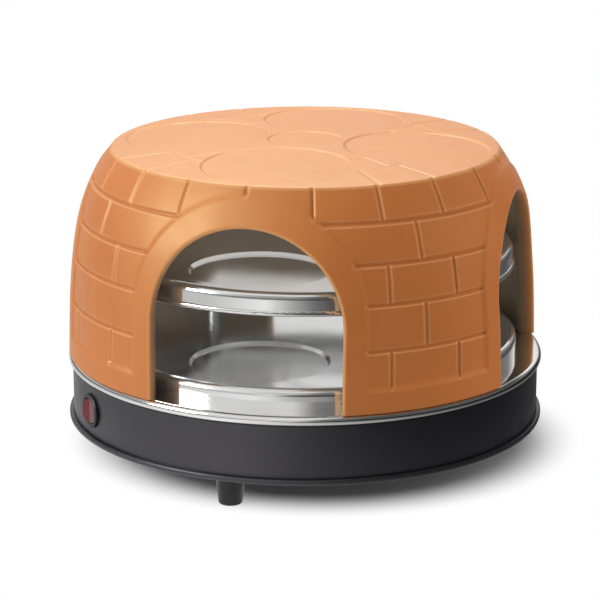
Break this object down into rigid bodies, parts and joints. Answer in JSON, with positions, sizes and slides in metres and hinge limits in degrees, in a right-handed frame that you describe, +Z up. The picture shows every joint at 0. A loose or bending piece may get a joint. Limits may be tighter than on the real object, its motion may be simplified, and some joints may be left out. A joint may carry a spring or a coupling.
{
  "type": "electric pizza maker",
  "caption": "Countertop oven for small pizzas: a terracotta dome with arched openings lifts off a round heated base with chrome baking tiers.",
  "frame": {"origin": "centre of the base on the surface that the feet stand on", "axes": "+Z up, -Y towards the front arch, with the switch to its left"},
  "size_m": [0.35, 0.3518, 0.2288],
  "materials": {
    "terracotta": "matt, unglazed, with a slight sheen on its edges",
    "chrome": "polished",
    "charcoal_paint": "satin",
    "black_sheet": "satin",
    "black_plastic": "matt",
    "red_plastic": "glossy, translucent",
    "zinc_steel": "zinc plated",
    "bright_sheet": "bright rolled",
    "heater_steel": "dark, heat tinted",
    "white_ceramic": "matt",
    "brass": "plain",
    "mineral_fibre": "felted",
    "brown_wire": "satin",
    "blue_wire": "satin",
    "earth_wire": "satin",
    "lamp_glass": "clear"
  },
  "bodies": {
    "base": {"rim_deck": "chrome", "lower_plate": "chrome", "upper_plate": "chrome", "base_wall": "charcoal_paint", "bottom_cover": "black_sheet", "foot_1": "black_plastic", "foot_2": "black_plastic", "foot_3": "black_plastic", "foot_screws": "zinc_steel", "foot_nuts": "zinc_steel", "switch_housing": "black_plastic", "rocker_pin": "zinc_steel", "switch_lamp": "lamp_glass", "switch_tabs": "brass", "post_1": "zinc_steel", "post_2": "zinc_steel", "post_3": "zinc_steel", "post_4": "zinc_steel", "post_rods": "zinc_steel", "post_nuts": "zinc_steel", "cap_nuts": "chrome", "lower_element": "heater_steel", "upper_element": "heater_steel", "lower_clips": "zinc_steel", "upper_clips": "zinc_steel", "element_pins": "brass", "reflector_pan": "bright_sheet", "insulation_pad": "mineral_fibre", "heat_shield": "bright_sheet", "thermostat": "white_ceramic", "thermal_fuse": "white_ceramic", "terminal_block": "white_ceramic", "wire_live": "brown_wire", "wire_neutral": "blue_wire", "wire_earth": "earth_wire", "cord_gland": "black_plastic", "gland_nut": "black_plastic", "cord_clamp": "black_plastic", "clamp_screws": "zinc_steel", "earth_stud": "brass", "cover_screws": "zinc_steel", "deck_brackets": "zinc_steel", "deck_nuts": "zinc_steel"},
    "dome": {"dome_cover": "terracotta"},
    "rocker": {"switch_rocker": "red_plastic"}
  },
  "joints": [
    {"name": "dome_lift", "type": "slide", "parent": "base", "child": "dome", "axis": [0, 0, 1], "range_m": [0, 0.12]},
    {"name": "rocker_tilt", "type": "hinge", "parent": "base", "child": "rocker", "pos_m": [-0.12633, -0.11375, 0.0475], "axis": [0, 0, -1], "range_deg": [0, 16]}
  ]
}
